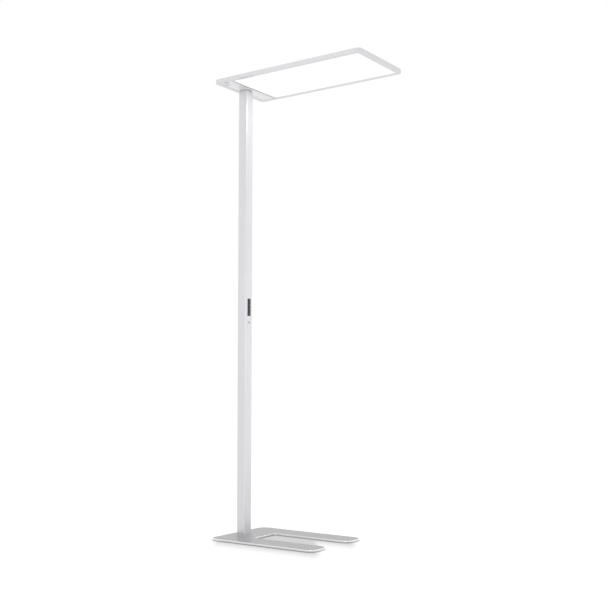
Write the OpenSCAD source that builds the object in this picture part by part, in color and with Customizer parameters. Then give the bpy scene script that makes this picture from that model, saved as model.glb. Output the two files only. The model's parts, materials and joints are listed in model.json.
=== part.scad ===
// Office floor lamp: a flat panel head that reaches forward from a square mast, on a U-shaped base plate.
// Millimetres. +Z is up and the head and the prongs of the base point along +X.
// The origin is on the floor, under the middle of the lamp's footprint.

/* [Lamp] */
// Height from the floor to the top of the head
total_h = 1950; // [1750:10:2100]

/* [Base plate] */
// Length from the rear edge to the tips of the prongs
base_l = 520; // [440:5:600]
// Width across both prongs
base_w = 366; // [330:2:420]
// Thickness of the steel plate
base_t = 8; // [6:0.5:12]
// Radius of the outer corners and of the prong tips
base_corner_r = 38; // [15:1:45]
// Length of the solid part behind the slot
base_web_l = 150; // [110:5:200]
// Width of the slot between the prongs
slot_w = 147; // [110:1:180]
// Radius of the slot's two inner corners
slot_corner_r = 15; // [6:1:30]
// Diameter of the glides under the plate
glide_d = 20; // [14:1:28]
// Thickness of a glide
glide_t = 3; // [2:0.5:4]
// How far a glide stands out below the plate
glide_proud = 1; // [0.5:0.1:1.4]
// Distance from the plate's edges to the centres of the glides
glide_inset = 45; // [40:1:52]
// Number of glides along each side
glides_along = 3; // [3:1:4]

/* [Mast] */
// Side of the square aluminium profile
mast_w = 45; // [42:0.5:50]
// Wall thickness of the profile
mast_wall = 2; // [1.5:0.1:2.6]
// Outer corner radius of the profile
mast_corner_r = 4.5; // [3:0.5:7]
// Distance from the rear edge of the base to the mast
mast_setback = 17; // [14:0.5:24]
// Distance from the mast's centre lines to its screw ports
port_offset = 14.5; // [14.2:0.1:15]
// Outer radius of a screw port
port_r = 4; // [3.5:0.1:4.3]
// Thickness of the webs that join a port to the walls
port_web_t = 1.5; // [1:0.1:2]
// Nominal radius of the mast's end screws
mast_screw_r = 2.5; // [2:0.1:2.7]
// How far an end screw goes into the mast
mast_screw_grip = 22; // [14:1:34]
// Height of the dark neck that shows between mast and head
neck_gap = 4; // [2:0.5:8]
// How far the neck stands back from the mast's faces
neck_inset = 3.5; // [3.3:0.1:4]
// Corner radius of the neck
neck_corner_r = 2; // [1:0.5:3]
// Radius of the cable hole in the neck and the plate above it
cable_hole_r = 12; // [11:0.5:13]

/* [Control panel] */
// Height of the panel's centre above the floor
control_z = 976; // [850:1:1100]
// How far the panel's rim stands out of the mast
control_proud = 1; // [0.5:0.1:1.5]
// Thickness of the panel's front plate
control_face_t = 2; // [1.8:0.1:2.4]
// How much the panel's rim overlaps the cut-out in the mast
control_overlap = 1.1; // [0.8:0.1:1.2]
// Corner radius of the panel's face
control_corner_r = 2; // [1:0.5:3]
// Corner radius of the panel's body
body_corner_r = 1; // [0.5:0.1:1.2]
// Wall thickness of the panel's body
control_wall = 1.2; // [1:0.1:1.4]
// Distance from key to key
key_pitch = 17.5; // [16:0.1:19]
// Space from one key cap to the next
key_spacing = 2.4; // [2.2:0.1:3]
// Width of a key cap
key_w = 12.4; // [11:0.1:12.8]
// Corner radius of a key cap
key_corner_r = 1; // [0.6:0.1:2]
// How far a key cap stands out of the panel's face
key_proud = 0.7; // [0.6:0.05:1.2]
// Thickness of the collar that holds a key behind the face
key_collar_t = 1; // [0.8:0.1:1.2]
// How far the collar is wider than the cap on each side
key_collar_lip = 0.9; // [0.6:0.1:1]
// Clearance between the key collars and the panel's long walls
key_side_gap = 0.4; // [0.3:0.05:0.5]
// Radius of the stem that presses the switch
key_stem_r = 1.75; // [1.2:0.05:2.2]
// Length of the stem
key_stem_l = 1.9; // [1.5:0.1:2.5]
// Travel of a key
key_travel = 0.8; // [0.4:0.1:1]
// Side of a key switch's body
switch_w = 6; // [5:0.1:7]
// Thickness of a key switch's body
switch_t = 3.3; // [2.5:0.1:4]
// Height of a key switch's plunger
plunger_h = 1; // [0.6:0.1:1.4]
// Thickness of the circuit boards
board_t = 1.6; // [1:0.1:2]
// Thickness of the cover behind the control board
control_back_t = 1.5; // [1.2:0.1:2]
// Radius of the posts that take the panel's screws
control_post_r = 1.9; // [1.8:0.05:2]
// How far those posts are sunk in the panel's long walls
control_post_root = 0.3; // [0.1:0.1:0.6]
// Plastic left in a post beyond its screw hole
control_post_skin = 1; // [0.6:0.1:1.5]
// Nominal radius of the panel's screws
control_screw_r = 1; // [0.8:0.05:1.1]
// Radius of the heads of the panel's screws
control_screw_head_r = 1.8; // [1.5:0.1:2]
// Height of the heads of the panel's screws
control_screw_head_h = 1.2; // [0.8:0.1:1.6]
// Height of the connectors of the window's lead
status_plug_h = 3; // [2.5:0.1:3.5]

/* [Status window] */
// Height of the window's centre above the floor
window_z = 910; // [800:1:920]
// Length of the window across the mast
window_l = 16; // [12:0.5:18]
// Height of the window
window_h = 7; // [5:0.5:9]
// How far the window stands out of the mast
window_proud = 0.4; // [0.2:0.1:0.8]
// How much the window's rim overlaps its hole
window_overlap = 0.6; // [0.4:0.1:0.8]
// How far the window's body reaches in from the mast's face
window_depth = 6; // [4.5:0.5:8]
// Height of the board behind the window
status_board_h = 10; // [9:0.5:12]

/* [Mains inlet] */
// Height of the inlet's centre above the floor
inlet_z = 75; // [60:1:90]
// Width of the inlet's flange
inlet_flange_w = 24; // [22:0.5:26]
// Height of the inlet's flange
inlet_flange_h = 31; // [30:0.5:34]
// Thickness of the inlet's flange
inlet_flange_t = 1.8; // [1.2:0.1:2.5]
// Corner radius of the inlet's flange
inlet_corner_r = 2.5; // [1:0.5:4]
// Width of the inlet's body in the mast
inlet_body_w = 19.6; // [19:0.1:20]
// Height of the inlet's body in the mast
inlet_body_h = 27; // [26.6:0.1:28]
// Depth of the inlet's body behind the mast's face
inlet_body_d = 18.5; // [17:0.5:20]
// Width of the socket that takes the connector
socket_w = 16.6; // [16.2:0.1:17]
// Height of the socket
socket_h = 24.4; // [24:0.1:24.6]
// Depth of the socket from the flange's face
socket_d = 17; // [15:0.5:18]
// Depth of the socket's two slanted corners
socket_chamfer = 4; // [2:0.5:5]
// Length of a contact blade in the socket
blade_l = 14; // [12:0.5:14.5]
// Width of a contact blade
blade_w = 4; // [3.5:0.1:4.5]
// Thickness of a contact blade
blade_t = 2; // [1.6:0.1:2.2]
// How far a contact blade reaches into the boot
blade_tab = 3; // [2:0.1:4]
// Height of the outer blades from the inlet's centre
blade_step = 7; // [6.5:0.1:7.5]
// Sideways distance of the blades from the inlet's centre
blade_side = 2; // [1.5:0.1:2.5]
// Width of the boot behind the inlet
boot_w = 16; // [14:0.5:18]
// Height of the boot behind the inlet
boot_h = 24; // [20:1:26]
// Depth of the boot behind the inlet
boot_d = 8; // [7:0.5:10]
// Corner radius of the boot
boot_corner_r = 2; // [1:0.5:3]

/* [Driver] */
// Height of the driver's lower end above the floor
driver_z = 150; // [130:5:200]
// Length of the driver
driver_l = 280; // [200:5:380]
// Depth of the driver
driver_d = 29; // [22:0.5:30]
// Width of the driver
driver_w = 20; // [16:0.5:20]
// Corner radius of the driver's case
driver_corner_r = 1.5; // [0.5:0.5:4]
// Thickness of the driver's bracket
bracket_t = 1.5; // [1:0.1:2]
// How far the bracket reaches past each end of the driver
bracket_end = 12; // [10:1:20]
// Radius of the leads between the inlet, the driver and the head
lead_r = 2; // [1.5:0.1:2]
// Radius of the thin leads in the head
thin_lead_r = 1.2; // [0.8:0.1:1.4]

/* [Head] */
// Length of the head
head_l = 734; // [660:2:800]
// Width of the head
head_w = 344; // [310:2:380]
// Thickness of the head
head_t = 16; // [16:0.5:20]
// Outer corner radius of the head
head_corner_r = 21; // [17:1:26]
// Thickness of the frame's side walls
head_wall = 2.6; // [2.2:0.1:3]
// Width of the frame's rim, seen from below
rim_w = 20; // [19:0.5:21]
// Thickness of the frame's rim
rim_t = 3; // [2.6:0.1:3.4]
// Metal left under the screw holes in the rim
rim_skin = 0.6; // [0.4:0.1:1]
// Distance from the head's rear edge to the cross bar
end_zone_l = 83; // [80:1:90]
// Width of the cross bar, seen from below
bar_w = 5; // [4:0.5:7]
// Thickness of the cross bar's web
bar_web_t = 2; // [1.5:0.1:2.5]
// Length of the cross bar's feet along the lamp
foot_l = 12; // [10:0.5:13]
// Thickness of the cross bar's feet
foot_t = 3; // [2:0.1:3]
// Thickness of the top cover's sheet
cover_t = 1.5; // [1:0.1:1.8]
// Width of the step in the side walls that the top cover lies in
rebate_w = 1.3; // [1:0.1:1.6]
// Radius of the bosses for the cover's screws
boss_r = 3.6; // [3:0.1:3.8]
// Distance from the head's ends to the first boss on a long side
boss_end = 25; // [24:1:40]
// Number of cover screws along each long side
side_bosses = 4; // [3:1:6]
// Length of the top cover's screws
cover_screw_l = 8; // [5:0.5:9.5]
// Thickness of the steel plate that carries the head
carrier_t = 3; // [2.5:0.1:3.2]
// Radius of the pads on the rim that the carrier plate lies on
carrier_pad_r = 3; // [2.5:0.1:3.2]
// Distance from the head's rear edge to the rear pair of carrier screws
carrier_screw_rear = 28; // [26:0.5:30]
// Distance from the head's rear edge to the front pair of carrier screws
carrier_screw_front = 58; // [55:0.5:60]
// Thickness of the end cover where it lies over the rim
end_lip_t = 1; // [0.8:0.1:1.2]
// How far the end cover's lip reaches over the rim
end_lip_w = 3; // [2:0.1:3.2]
// How far the end cover stands back from the rim's lower face
end_recess = 1; // [0.5:0.1:1.5]
// Distance from the head's rear edge to the rear pair of end cover screws
end_screw_rear = 29; // [28:0.5:31]
// Distance from the head's rear edge to the front pair of end cover screws
end_screw_front = 66; // [65:0.5:68]
// Distance from the long edges of the head's opening to those screws
end_screw_inset = 6; // [5:0.5:8]
// Thickness of the diffuser
diffuser_t = 2; // [1.5:0.1:2.2]
// Thickness of the light guide
guide_t = 4; // [3:0.1:4.2]
// Thickness of the reflector sheet
reflector_t = 0.5; // [0.3:0.1:0.8]
// Side of a square foam pad
pad_w = 30; // [20:1:40]
// Number of foam pads along the head
pads_along = 6; // [4:1:8]
// Number of foam pads across the head
pads_across = 3; // [2:1:4]
// Thickness of the aluminium rails behind the light strips
rail_t = 1.5; // [1:0.1:2]
// Thickness of a light strip's board
strip_t = 1; // [0.8:0.1:1.2]
// Height of a light strip's board
strip_h = 9.5; // [9:0.1:10.5]
// Number of light emitting chips on each strip
chips = 30; // [16:1:40]
// Side of a chip
chip_w = 2.8; // [2:0.1:3.5]
// Thickness of a chip
chip_t = 0.8; // [0.5:0.1:1]

/* [Sensors] */
// Distance from the head's rear edge to the presence sensor
sensor_x = 44; // [42:0.5:46]
// Distance from the lamp's middle plane to the presence sensor
sensor_y = 138; // [135.5:0.5:138]
// Radius of the sensor's flange
sensor_r = 11; // [9.5:0.5:11]
// How far the sensor stands out below the end cover
sensor_proud = 8; // [6:0.5:10]
// Radius of the sensor's threaded body
sensor_body_r = 8.5; // [7:0.1:8.5]
// Radius of the bore in the sensor's body
sensor_bore_r = 7; // [5.5:0.1:7]
// Radius of the sensor's lens
lens_r = 8.2; // [6:0.1:8.5]
// How deep the lens stands back in the flange
lens_recess = 0.6; // [0.3:0.1:1]
// Thickness of the lens
lens_t = 1.8; // [1:0.1:2]
// Outer radius of the nut that holds the sensor
nut_r = 11.5; // [10:0.5:12]
// Thickness of that nut
nut_t = 1.6; // [1:0.1:1.8]
// Length of the sensor's body above its nut
sensor_tail = 0.4; // [0.2:0.1:0.6]
// Distance from the head's rear edge to the daylight window
daylight_x = 50; // [49:0.5:52]
// Distance from the lamp's middle plane to the daylight window
daylight_y = 121; // [112:0.5:121]
// Radius of the daylight window
daylight_r = 3; // [2.6:0.1:3.4]
// How far the daylight window stands out below the end cover
daylight_proud = 0.5; // [0.2:0.1:1]
// Radius of the light pipe behind the daylight window
light_pipe_r = 2.2; // [1.5:0.1:2.4]
// Thickness of the sensor's circuit board
sensor_board_t = 1.2; // [0.8:0.1:1.4]
// Radius of the detector can on that board
detector_r = 4; // [3:0.1:4.6]
// Height of the detector can
detector_h = 4; // [2.5:0.5:6]

/* [Head electronics] */
// Length of the head's circuit board, across the lamp
head_board_l = 80; // [70:1:100]
// Width of the head's circuit board, along the lamp
head_board_w = 40; // [38:1:42]
// Distance from the lamp's middle plane to the board
head_board_y = 36; // [32:1:50]
// Length of a connector on the board
plug_l = 8; // [6:0.5:9]
// Width of a connector on the board
plug_w = 5; // [4.5:0.1:5.6]
// Distance from connector to connector on the board
plug_pitch = 7; // [6:0.1:7.5]
// Height of the pillars under the board
pillar_h = 1.5; // [1.2:0.1:1.6]
// Distance from the board's ends to its pillars
pillar_end = 14; // [12:1:20]
// Distance from the board's long edges to its pillars
pillar_side = 4; // [3.5:0.5:5]
// Radius of the pin on top of a pillar
pillar_pin_r = 1.25; // [1:0.05:1.4]
// How far that pin stands out above the board
pillar_pin_proud = 0.8; // [0.4:0.1:1.2]
// Radius of the bends in the leads
lead_bend_r = 5; // [4.5:0.1:5.5]

/* [Fasteners and clearances] */
// Nominal radius of the small screws
screw_r = 1.5; // [1.25:0.05:1.5]
// Radius of a small pan head or countersunk head
screw_head_r = 2.8; // [2.4:0.1:3]
// Height of a small pan head
pan_h = 2.2; // [1.5:0.1:2.4]
// Radius of the heads of the mast's end screws
mast_screw_head_r = 4.6; // [4.2:0.1:4.8]
// Height of the heads of the mast's end screws
mast_screw_head_h = 2.8; // [2.2:0.1:3]
// Clearance round a screw in its threaded hole
thread_gap = 0.05; // [0.03:0.01:0.08]
// Clearance round a screw in a plain hole
screw_gap = 0.2; // [0.1:0.05:0.25]
// Clearance between a part and the cut-out that it sits in
fit_gap = 0.2; // [0.1:0.05:0.25]
// Clearance between flat parts that lie side by side in the head
side_gap = 0.5; // [0.3:0.05:0.5]
// Clearance round a key cap in the panel's face
key_gap = 0.2; // [0.15:0.05:0.25]
// Clearance left behind a fully pressed key
stop_gap = 0.1; // [0.05:0.05:0.3]
// Clearance round a lead in a hole or notch
lead_gap = 0.1; // [0.05:0.05:0.3]
// Space left beyond a screw's tip
tip_gap = 0.2; // [0.1:0.1:0.5]
// How far a snap ridge stands out of a plastic body
snap_lip = 0.7; // [0.5:0.1:0.8]
// Length of a snap ridge
snap_l = 8; // [5:0.5:10]
// Depth of a snap ridge
snap_d = 1.2; // [0.8:0.1:1.5]
// Clearance between a snap ridge and the mast's wall
snap_gap = 0.1; // [0.05:0.05:0.2]

/* [Hidden] */
$fn = 48;
eps = 0.01;
lead_sides = 12;
bend_steps = 6;

// Finishes
silver = [0.80, 0.80, 0.82];
steel = [0.70, 0.71, 0.73];
light_grey = [0.90, 0.90, 0.91];
dark_grey = [0.22, 0.22, 0.23];
key_black = [0.16, 0.16, 0.17];
milky = [0.98, 0.98, 0.97];
clear_tint = [0.85, 0.93, 0.97, 0.5];
board_green = [0.13, 0.38, 0.22];
brass = [0.80, 0.66, 0.36];
rubber_grey = [0.35, 0.35, 0.36];
foam_grey = [0.45, 0.45, 0.47];

// Places along X
rear_x = -head_l / 2;
front_x = head_l / 2;
mast_x = rear_x + mast_setback + mast_w / 2;
mast_rear_x = mast_x - mast_w / 2;
mast_front_x = mast_x + mast_w / 2;
bar_x = rear_x + end_zone_l;
web_front_x = bar_x + bar_web_t;
panel_rear_x = web_front_x + side_gap;
panel_front_x = front_x - head_wall - 2 * boss_r - side_gap;

driver_rear_x = mast_rear_x + mast_wall + bracket_t;
neck_w = mast_w - 2 * neck_inset;

// Places across Y, measured from the middle plane
boss_y = head_w / 2 - head_wall - boss_r;
rail_y = boss_y - boss_r;
boss_root_l = boss_r + head_wall / 2;
strip_y = rail_y - rail_t;
chip_y = strip_y - strip_t;
panel_half_w = chip_y - chip_t - side_gap;
opening_half_w = head_w / 2 - rim_w;

// Heights
plate_z = glide_proud;
plate_top = plate_z + base_t;
head_top = total_h;
head_z = head_top - head_t;
rim_top = head_z + rim_t;
cover_z = head_top - cover_t;
mast_top = head_z - neck_gap;
end_cover_z = head_z + end_recess;
carrier_z = rim_top + end_lip_t;
carrier_top = carrier_z + carrier_t;
head_board_z = carrier_top + pillar_h;
head_board_top = head_board_z + board_t;
lead_z = head_board_top + lead_r;
guide_z = rim_top + diffuser_t;
reflector_z = guide_z + guide_t;
pad_z = reflector_z + reflector_t;
bracket_screw_z = [driver_z - bracket_end / 2, driver_z + driver_l + bracket_end / 2];
sensor_top = carrier_top + nut_t + sensor_tail;
sensor_board_top = sensor_top + sensor_board_t;
sensor_face_z = end_cover_z - sensor_proud;
lens_z = sensor_face_z + lens_recess;

// Control panel, from the front to the back
control_face_x = mast_front_x + control_proud;
face_back_x = control_face_x - control_face_t;
collar_back_x = face_back_x - key_collar_t;
stem_end_x = collar_back_x - key_stem_l;
plunger_x = stem_end_x - key_travel - stop_gap;
switch_x = plunger_x - plunger_h;
control_board_x = switch_x - switch_t;
control_back_x = control_board_x - board_t;
control_end_x = control_back_x - control_back_t;
key_count = 4;
key_h = key_pitch - key_spacing;
key_centres = [for (i = [0:key_count - 1]) control_z + ((key_count - 1) / 2 - i) * key_pitch];
panel_inner_l = key_count * key_pitch;
panel_inner_w = key_w + 2 * (key_collar_lip + key_side_gap);
body_l = panel_inner_l + 2 * control_wall;
body_w = panel_inner_w + 2 * control_wall;
control_l = body_l + 2 * (fit_gap + control_overlap);
control_w = body_w + 2 * (fit_gap + control_overlap);
control_post_y = panel_inner_w / 2 - control_post_r + control_post_root;
control_post_l = collar_back_x - key_travel - stop_gap - control_back_x;
control_hole_l = control_post_l - control_post_skin;
snap_front_x = mast_front_x - mast_wall - snap_gap;
status_lead_x = mast_front_x - window_depth - board_t - thin_lead_r;

// Mains inlet, from the flange inwards
inlet_face_x = mast_rear_x - inlet_flange_t;
inlet_end_x = mast_rear_x + inlet_body_d;
socket_floor_x = inlet_face_x + socket_d;
inlet_snap_x = mast_rear_x + mast_wall + snap_gap;
blades = [[-blade_side, blade_step], [-blade_side, -blade_step], [blade_side, 0]];

// Leads
control_lead_x = mast_x;
output_lead_x = mast_x - plug_pitch;
sensor_lead_x = mast_x + plug_pitch;
led_lead_x = mast_x + 2 * plug_pitch;
led_lead_y = strip_y - strip_t / 2;
board_near_y = head_board_y;
board_far_y = head_board_y + head_board_l;

// Repeated places
port_points = [for (sx = [-1, 1], sy = [-1, 1]) [mast_x + sx * port_offset, sy * port_offset]];
long_boss_x = [for (i = [0:side_bosses - 1])
    (2 * i / (side_bosses - 1) - 1) * (front_x - boss_end)];
cover_points = concat(
    [for (x = long_boss_x, s = [-1, 1]) [x, s * boss_y]],
    [for (s = [-1, 1]) [s * (front_x - head_wall - boss_r), 0]]);
foot_half_w = carrier_pad_r;
carrier_pad_y = rail_y - side_gap - carrier_pad_r;
carrier_points = [for (dx = [carrier_screw_rear, carrier_screw_front], s = [-1, 1])
    [rear_x + dx, s * carrier_pad_y]];
end_screw_points = [for (dx = [end_screw_rear, end_screw_front], s = [-1, 1])
    [rear_x + dx, s * (opening_half_w - end_screw_inset)]];
foot_points = [for (s = [-1, 1]) [bar_x - foot_l / 2, s * carrier_pad_y]];
pillar_points = [for (sx = [-1, 1], y = [board_near_y + pillar_end, board_far_y - pillar_end])
    [mast_x + sx * (head_board_w / 2 - pillar_side), y]];
sink_h = screw_head_r - screw_r;
sensor_pos = [rear_x + sensor_x, -sensor_y];
daylight_pos = [rear_x + daylight_x, -daylight_y];
prong_w = (base_w - slot_w) / 2;
glide_step = (base_l - 2 * glide_inset) / (glides_along - 1);
glide_points = concat(
    [for (s = [-1, 1]) [rear_x + glide_inset, s * (base_w / 2 - glide_inset)]],
    [for (i = [1:glides_along - 1], s = [-1, 1])
        [rear_x + glide_inset + i * glide_step, s * (base_w - prong_w) / 2]]);
led_start_x = panel_rear_x + side_gap;
led_end_x = panel_front_x - side_gap;
chip_pitch = (led_end_x - led_start_x) / chips;

// ---------- shared shapes ----------

// Box from its low corner to its high corner
module block(low, high) {
    translate(low) cube(high - low);
}

// Rectangle with round corners, centred on the origin
module round_rect(l, w, r) {
    square([l - 2 * r, w], center = true);
    square([l, w - 2 * r], center = true);
    for (sx = [-1, 1], sy = [-1, 1])
        translate([sx * (l / 2 - r), sy * (w / 2 - r)]) circle(r = r);
}

// Rectangle with half-round ends, centred on the origin
module stadium(l, w) {
    square([l - w, w], center = true);
    for (s = [-1, 1]) translate([s * (l - w) / 2, 0]) circle(d = w);
}

// Upright prism of an outline between two heights
module upright(low, high) {
    translate([0, 0, low]) linear_extrude(high - low) children();
}

// Prism along X of an outline drawn with its X along Y and its Y along Z
module along_x(low, high, z) {
    translate([low, 0, z]) rotate([90, 0, 90]) linear_extrude(high - low) children();
}

// Upright cylinder between two heights
module post(point, r, low, high) {
    translate([point[0], point[1], low]) cylinder(r = r, h = high - low);
}

// Screw whose countersunk head lies flush with z = 0 and whose tip points along +Z
module countersunk_screw(r, head_r, head_h, l) {
    cylinder(r1 = head_r, r2 = r, h = head_h);
    cylinder(r = r, h = l);
}

// Hole for such a screw through a sheet, which opens at z = 0
module countersunk_hole(r, head_r, head_h, depth, gap) {
    cylinder(r1 = head_r + gap, r2 = r + gap, h = head_h);
    translate([0, 0, -eps]) cylinder(r = r + gap, h = depth + 2 * eps);
}

// Screw with a flat head above z = 0 and a shank below it
module pan_screw(r, head_r, head_h, l) {
    cylinder(r = head_r, h = head_h);
    translate([0, 0, -l]) cylinder(r = r, h = l + head_h / 2);
}

// Round bar along +X from a point
module bar_along_x(point, l, r) {
    translate(point) rotate([0, 90, 0]) cylinder(r = r, h = l);
}

function unit(v) = v / norm(v);

// Points of the quarter bend that a lead makes at b, on its way from a to c
function bend_points(a, b, c) =
    let (u = unit(b - a), w = unit(c - b), centre = b + lead_bend_r * (w - u))
    [for (i = [0:bend_steps]) let (t = 90 * i / bend_steps)
        centre + lead_bend_r * (sin(t) * u - cos(t) * w)];

// Middle line of a lead that follows a route with square corners
function lead_line(route) = let (last = len(route) - 1) concat(
    [route[0]],
    [for (i = [1:last - 1]) each bend_points(route[i - 1], route[i], route[i + 1])],
    [route[last]]);

// Direction of a line at its point i
function line_direction(line, i) = let (last = len(line) - 1)
    unit((i < last ? unit(line[i + 1] - line[i]) : [0, 0, 0])
        + (i > 0 ? unit(line[i] - line[i - 1]) : [0, 0, 0]));

// Round lead along a route with square corners, which it takes in quarter bends
module lead(route, r) {
    line = lead_line(route);
    rings = len(line);
    points = [for (i = [0:rings - 1]) let (
            t = line_direction(line, i),
            u = unit(cross(t, [1, 1, 1])),
            v = cross(t, u))
        for (k = [0:lead_sides - 1]) let (a = 360 * k / lead_sides)
            line[i] + r * (cos(a) * u + sin(a) * v)];
    walls = [for (i = [0:rings - 2], k = [0:lead_sides - 1]) let (
            a = i * lead_sides + k,
            b = i * lead_sides + (k + 1) % lead_sides)
        each [[a, b + lead_sides, b], [a, a + lead_sides, b + lead_sides]]];
    caps = [for (k = [1:lead_sides - 2]) each [[0, k, k + 1],
        [for (n = [0, k + 1, k]) (rings - 1) * lead_sides + n]]];
    polyhedron(points, concat(walls, caps));
}

// ---------- base ----------

// U-shaped outline: a rear web and two prongs, round at every outer corner
module base_outline() {
    slot_x = rear_x + base_web_l;
    for (s = [-1, 1]) translate([rear_x + base_l / 2, s * (base_w - prong_w) / 2])
        round_rect(base_l, prong_w, base_corner_r);
    translate([rear_x, base_corner_r - base_w / 2])
        square([base_web_l, base_w - 2 * base_corner_r]);
    for (s = [-1, 1]) translate([slot_x, s * slot_w / 2]) difference() {
        translate([-eps, s > 0 ? -slot_corner_r : -eps])
            square([slot_corner_r + eps, slot_corner_r + eps]);
        translate([slot_corner_r, -s * slot_corner_r]) circle(r = slot_corner_r);
    }
}

module base_plate() color(silver) difference() {
    upright(plate_z, plate_top) base_outline();
    for (p = glide_points) post(p, glide_d / 2 + fit_gap, plate_z - eps, glide_t);
    for (p = port_points) translate([p[0], p[1], plate_z])
        countersunk_hole(mast_screw_r, mast_screw_head_r, mast_screw_head_h, base_t, screw_gap);
}

module glides() color(rubber_grey) for (p = glide_points) post(p, glide_d / 2, 0, glide_t);

module base_screws() color(steel) for (p = port_points) translate([p[0], p[1], plate_z])
    countersunk_screw(mast_screw_r, mast_screw_head_r, mast_screw_head_h, base_t + mast_screw_grip);

// ---------- mast ----------

// Hollow square profile with a screw port near each corner
module mast_profile() {
    inner_w = mast_w - 2 * mast_wall;
    web_end = mast_w / 2 - mast_wall / 2;
    difference() {
        union() {
            difference() {
                round_rect(mast_w, mast_w, mast_corner_r);
                round_rect(inner_w, inner_w, mast_corner_r - mast_wall);
            }
            for (a = [0:90:270]) rotate(a) {
                translate([port_offset, port_offset]) circle(r = port_r);
                translate([port_offset, port_offset - port_web_t / 2])
                    square([web_end - port_offset, port_web_t]);
                translate([port_offset - port_web_t / 2, port_offset])
                    square([port_web_t, web_end - port_offset]);
            }
        }
        for (a = [0:90:270]) rotate(a) translate([port_offset, port_offset])
            circle(r = mast_screw_r + thread_gap);
    }
}

module mast() color(silver) difference() {
    translate([mast_x, 0, 0]) upright(plate_top, mast_top) mast_profile();
    along_x(mast_front_x - mast_wall - eps, mast_front_x + eps, control_z)
        square([body_w + 2 * fit_gap, body_l + 2 * fit_gap], center = true);
    along_x(mast_front_x - mast_wall - eps, mast_front_x + eps, window_z)
        stadium(window_l - 2 * window_overlap, window_h - 2 * window_overlap);
    along_x(mast_rear_x - eps, mast_rear_x + mast_wall + eps, inlet_z)
        square([inlet_body_w + 2 * fit_gap, inlet_body_h + 2 * fit_gap], center = true);
    for (z = bracket_screw_z) translate([mast_rear_x, 0, z]) rotate([0, 90, 0])
        countersunk_hole(screw_r, screw_head_r, sink_h, mast_wall, screw_gap);
}

module neck_outline(gap) {
    round_rect(neck_w + 2 * gap, neck_w + 2 * gap, neck_corner_r + gap);
}

module neck_collar() color(dark_grey) translate([mast_x, 0, 0]) upright(mast_top, carrier_z)
    difference() {
        neck_outline(0);
        circle(r = cable_hole_r);
        for (a = [0:90:270]) rotate(a) translate([port_offset, port_offset])
            circle(r = mast_screw_r + screw_gap);
    }

module neck_screws() color(steel) for (p = port_points) translate([p[0], p[1], carrier_top])
    pan_screw(mast_screw_r, mast_screw_head_r, mast_screw_head_h,
        carrier_top - mast_top + mast_screw_grip);

// ---------- control panel ----------

module control_bezel() color(dark_grey) difference() {
    union() {
        along_x(mast_front_x, control_face_x, control_z)
            round_rect(control_w, control_l, control_corner_r);
        along_x(control_back_x, mast_front_x + eps, control_z)
            round_rect(body_w, body_l, body_corner_r);
        for (sy = [-1, 1], sz = [-1, 1]) along_x(snap_front_x - snap_d, snap_front_x, control_z)
            translate([sy * body_w / 2, sz * body_l / 4]) square([2 * snap_lip, snap_l], center = true);
    }
    difference() {
        along_x(control_back_x - eps, face_back_x, control_z)
            square([panel_inner_w, panel_inner_l], center = true);
        for (s = [-1, 1]) translate([control_back_x - 2 * eps, s * control_post_y, control_z])
            rotate([0, 90, 0]) cylinder(r = control_post_r, h = control_post_l);
    }
    for (z = key_centres) along_x(face_back_x - eps, control_face_x + eps, z)
        round_rect(key_w + 2 * key_gap, key_h + 2 * key_gap, key_corner_r + key_gap);
    for (s = [-1, 1]) bar_along_x([control_back_x - eps, s * control_post_y, control_z],
        control_hole_l + eps, control_screw_r + thread_gap);
    post([status_lead_x, 0], thin_lead_r + lead_gap,
        control_z - body_l / 2 - eps, control_z - panel_inner_l / 2 + eps);
}

// Key cap with its collar behind the panel's face and the stem for its switch
module key(i) color(key_black) {
    z = key_centres[i];
    along_x(face_back_x - eps, control_face_x + key_proud, z) round_rect(key_w, key_h, key_corner_r);
    along_x(collar_back_x, face_back_x, z)
        round_rect(key_w + 2 * key_collar_lip, key_h + 2 * key_collar_lip, key_corner_r);
    bar_along_x([stem_end_x, 0, z], key_stem_l + key_collar_t / 2, key_stem_r);
}

module key_power() key(0);
module key_brighter() key(1);
module key_dimmer() key(2);
module key_auto() key(3);

module key_switches() color(steel) for (z = key_centres) {
    along_x(control_board_x, switch_x, z) square([switch_w, switch_w], center = true);
    bar_along_x([switch_x - switch_t / 2, 0, z], switch_t / 2 + plunger_h, key_stem_r);
}

module control_board() color(board_green) difference() {
    union() {
        along_x(control_back_x, control_board_x, control_z)
            square([panel_inner_w - 2 * fit_gap, panel_inner_l - 2 * fit_gap], center = true);
        status_plug_z = control_z - panel_inner_l / 2 + fit_gap;
        block([control_board_x - eps, -plug_w / 2, status_plug_z],
            [status_lead_x + thin_lead_r, plug_w / 2, status_plug_z + status_plug_h]);
    }
    for (s = [-1, 1]) bar_along_x([control_back_x - eps, s * control_post_y, control_z],
        board_t + 2 * eps, control_post_r + fit_gap);
}

module control_back() color(dark_grey) difference() {
    along_x(control_end_x, control_back_x, control_z) round_rect(body_w, body_l, body_corner_r);
    for (s = [-1, 1]) bar_along_x([control_end_x - eps, s * control_post_y, control_z],
        control_back_t + 2 * eps, control_screw_r + screw_gap);
    bar_along_x([control_end_x - eps, 0, control_z], control_back_t + 2 * eps, lead_r + screw_gap);
}

module control_screws() color(steel) for (s = [-1, 1])
    translate([control_end_x, s * control_post_y, control_z]) rotate([0, -90, 0])
        pan_screw(control_screw_r, control_screw_head_r, control_screw_head_h,
            control_back_t + control_hole_l - tip_gap);

module control_leads() color(dark_grey) {
    lead([[control_back_x, 0, control_z], [control_lead_x, 0, control_z],
        [control_lead_x, 0, lead_z], [control_lead_x, board_near_y, lead_z]], lead_r);
    post([status_lead_x, 0], thin_lead_r, window_z + status_board_h / 2,
        control_z - panel_inner_l / 2 + fit_gap);
}

// ---------- status window ----------

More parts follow.
